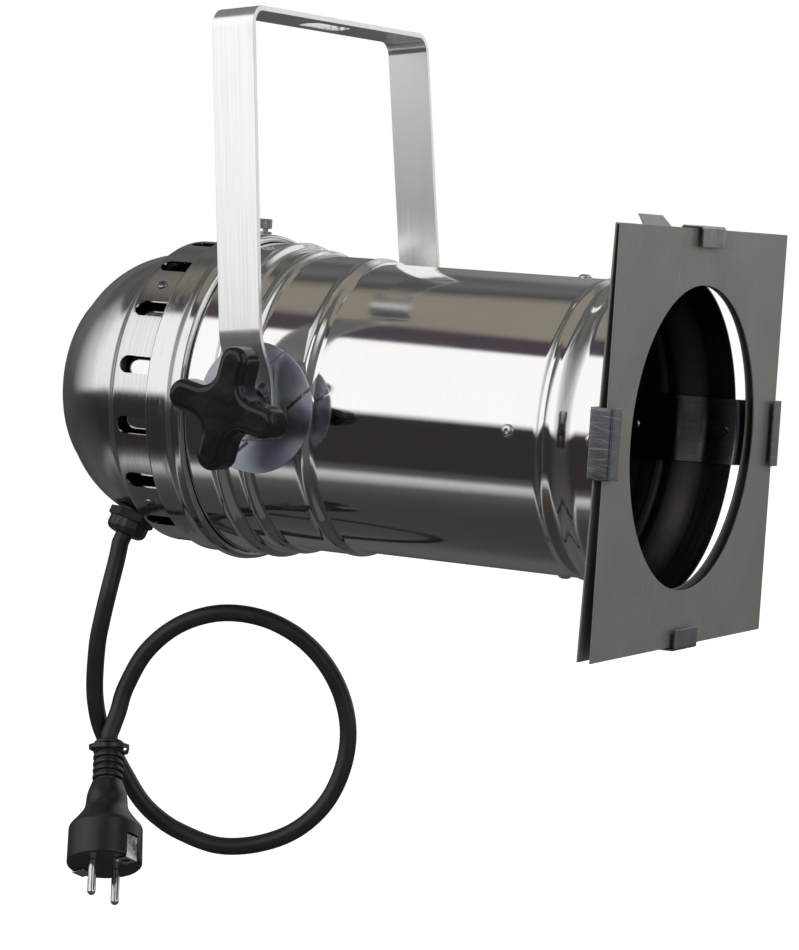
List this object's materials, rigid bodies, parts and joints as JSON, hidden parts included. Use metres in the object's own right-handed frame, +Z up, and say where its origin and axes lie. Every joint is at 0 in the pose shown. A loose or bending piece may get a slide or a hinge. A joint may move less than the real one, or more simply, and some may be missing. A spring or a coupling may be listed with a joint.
{
  "type": "par can",
  "caption": "Tubular metal spotlight can on a tilting yoke, with domed vented rear cap, sealed lamp, square colour frame in clips, hand knobs and a mains lead with plug.",
  "frame": {"origin": "middle of the yoke's top face, at the centre of its hanging slot", "axes": "+Z up, +X the way the can points when level, +Y to the can's left; the can turns about an axis along Y"},
  "size_m": [0.3966, 0.2584, 0.4968],
  "materials": {
    "yoke_aluminium": "satin, bent strip",
    "spun_aluminium": "polished, with fine spinning lines",
    "satin_aluminium": "satin, with coarser spinning lines",
    "bright_aluminium": "bright",
    "baffle_sleeve": "mirror bright",
    "zinc": "zinc plated, scratched",
    "blue_zinc": "zinc plated, blue passivated",
    "steel": "plated",
    "brass": "turned",
    "nickel": "nickel plated",
    "frame_paint": "matt grey, scratched",
    "black_plastic": "glossy black",
    "black_rubber": "black, slightly glossy",
    "lamp_mirror": "silvered glass",
    "lamp_glass": "clear",
    "ceramic": "off-white ceramic",
    "lead_white": "white sleeve",
    "lead_green": "green and yellow"
  },
  "bodies": {
    "yoke": {"yoke": "yoke_aluminium"},
    "can": {"barrel": "spun_aluminium", "frame_clip_top": "zinc", "frame_clip_right": "zinc", "frame_clip_bottom": "zinc", "frame_clip_left": "zinc", "clip_rivet_top_rear": "bright_aluminium", "clip_rivet_top_front": "bright_aluminium", "clip_rivet_right_rear": "bright_aluminium", "clip_rivet_right_front": "bright_aluminium", "clip_rivet_bottom_rear": "bright_aluminium", "clip_rivet_bottom_front": "bright_aluminium", "clip_rivet_left_rear": "bright_aluminium", "clip_rivet_left_front": "bright_aluminium", "spacer_right": "steel", "spacer_left": "steel", "friction_disc_right": "blue_zinc", "friction_disc_left": "blue_zinc", "pivot_washer_right": "steel", "pivot_washer_left": "steel", "pivot_stud_right": "zinc", "pivot_stud_left": "zinc", "lamp_reflector": "lamp_mirror", "lamp_lens": "lamp_glass", "lamp_prong_right": "nickel", "lamp_prong_left": "nickel", "lamp_filament": "nickel", "lamp_retaining_ring": "steel"},
    "knob_right": {"knob_right": "black_plastic", "knob_insert_right": "brass"},
    "knob_left": {"knob_left": "black_plastic", "knob_insert_left": "brass"},
    "rear_housing": {"rear_cap": "satin_aluminium", "lamp_housing_ring": "bright_aluminium", "vent_baffle": "baffle_sleeve", "baffle_screw_1": "zinc", "baffle_screw_2": "zinc", "baffle_screw_3": "zinc", "baffle_screw_4": "zinc", "lock_lug": "steel", "lamp_holder": "ceramic", "holder_bracket": "zinc", "holder_lead_sleeve": "lead_white", "earth_lead": "lead_green", "earth_terminal": "brass", "gland_body": "black_plastic", "gland_nut": "black_plastic", "gland_locknut": "black_plastic", "mains_cord": "black_rubber", "cord_tie": "black_plastic", "plug_strain_relief": "black_rubber", "plug_body": "black_rubber", "plug_pin_1": "nickel", "plug_pin_2": "nickel", "plug_earth_contact_1": "nickel", "plug_earth_contact_2": "nickel"},
    "lock_screw": {"lock_screw": "steel"},
    "colour_frame": {"colour_frame": "frame_paint"}
  },
  "joints": [
    {"name": "can_tilt", "type": "hinge", "parent": "yoke", "child": "can", "pos_m": [0, 0, -0.218], "axis": [0, 1, 0], "range_deg": [-57, 83]},
    {"name": "knob_right_turn", "type": "hinge", "parent": "can", "child": "knob_right", "pos_m": [0, -0.115, -0.218], "axis": [0, -1, 0], "continuous": true},
    {"name": "knob_left_turn", "type": "hinge", "parent": "can", "child": "knob_left", "pos_m": [0, 0.115, -0.218], "axis": [0, 1, 0], "continuous": true},
    {"name": "rear_housing_slide", "type": "slide", "parent": "can", "child": "rear_housing", "axis": [-0.9934, 0, 0.1146], "range_m": [0, 0.045]},
    {"name": "lock_screw_turn", "type": "hinge", "parent": "rear_housing", "child": "lock_screw", "pos_m": [-0.04452, 0, -0.11522], "axis": [0.1146, 0, 0.9934], "continuous": true},
    {"name": "colour_frame_slide", "type": "slide", "parent": "can", "child": "colour_frame", "axis": [0.1146, 0, 0.9934], "range_m": [0, 0.24], "deforming": ["frame_clip_top"]}
  ]
}
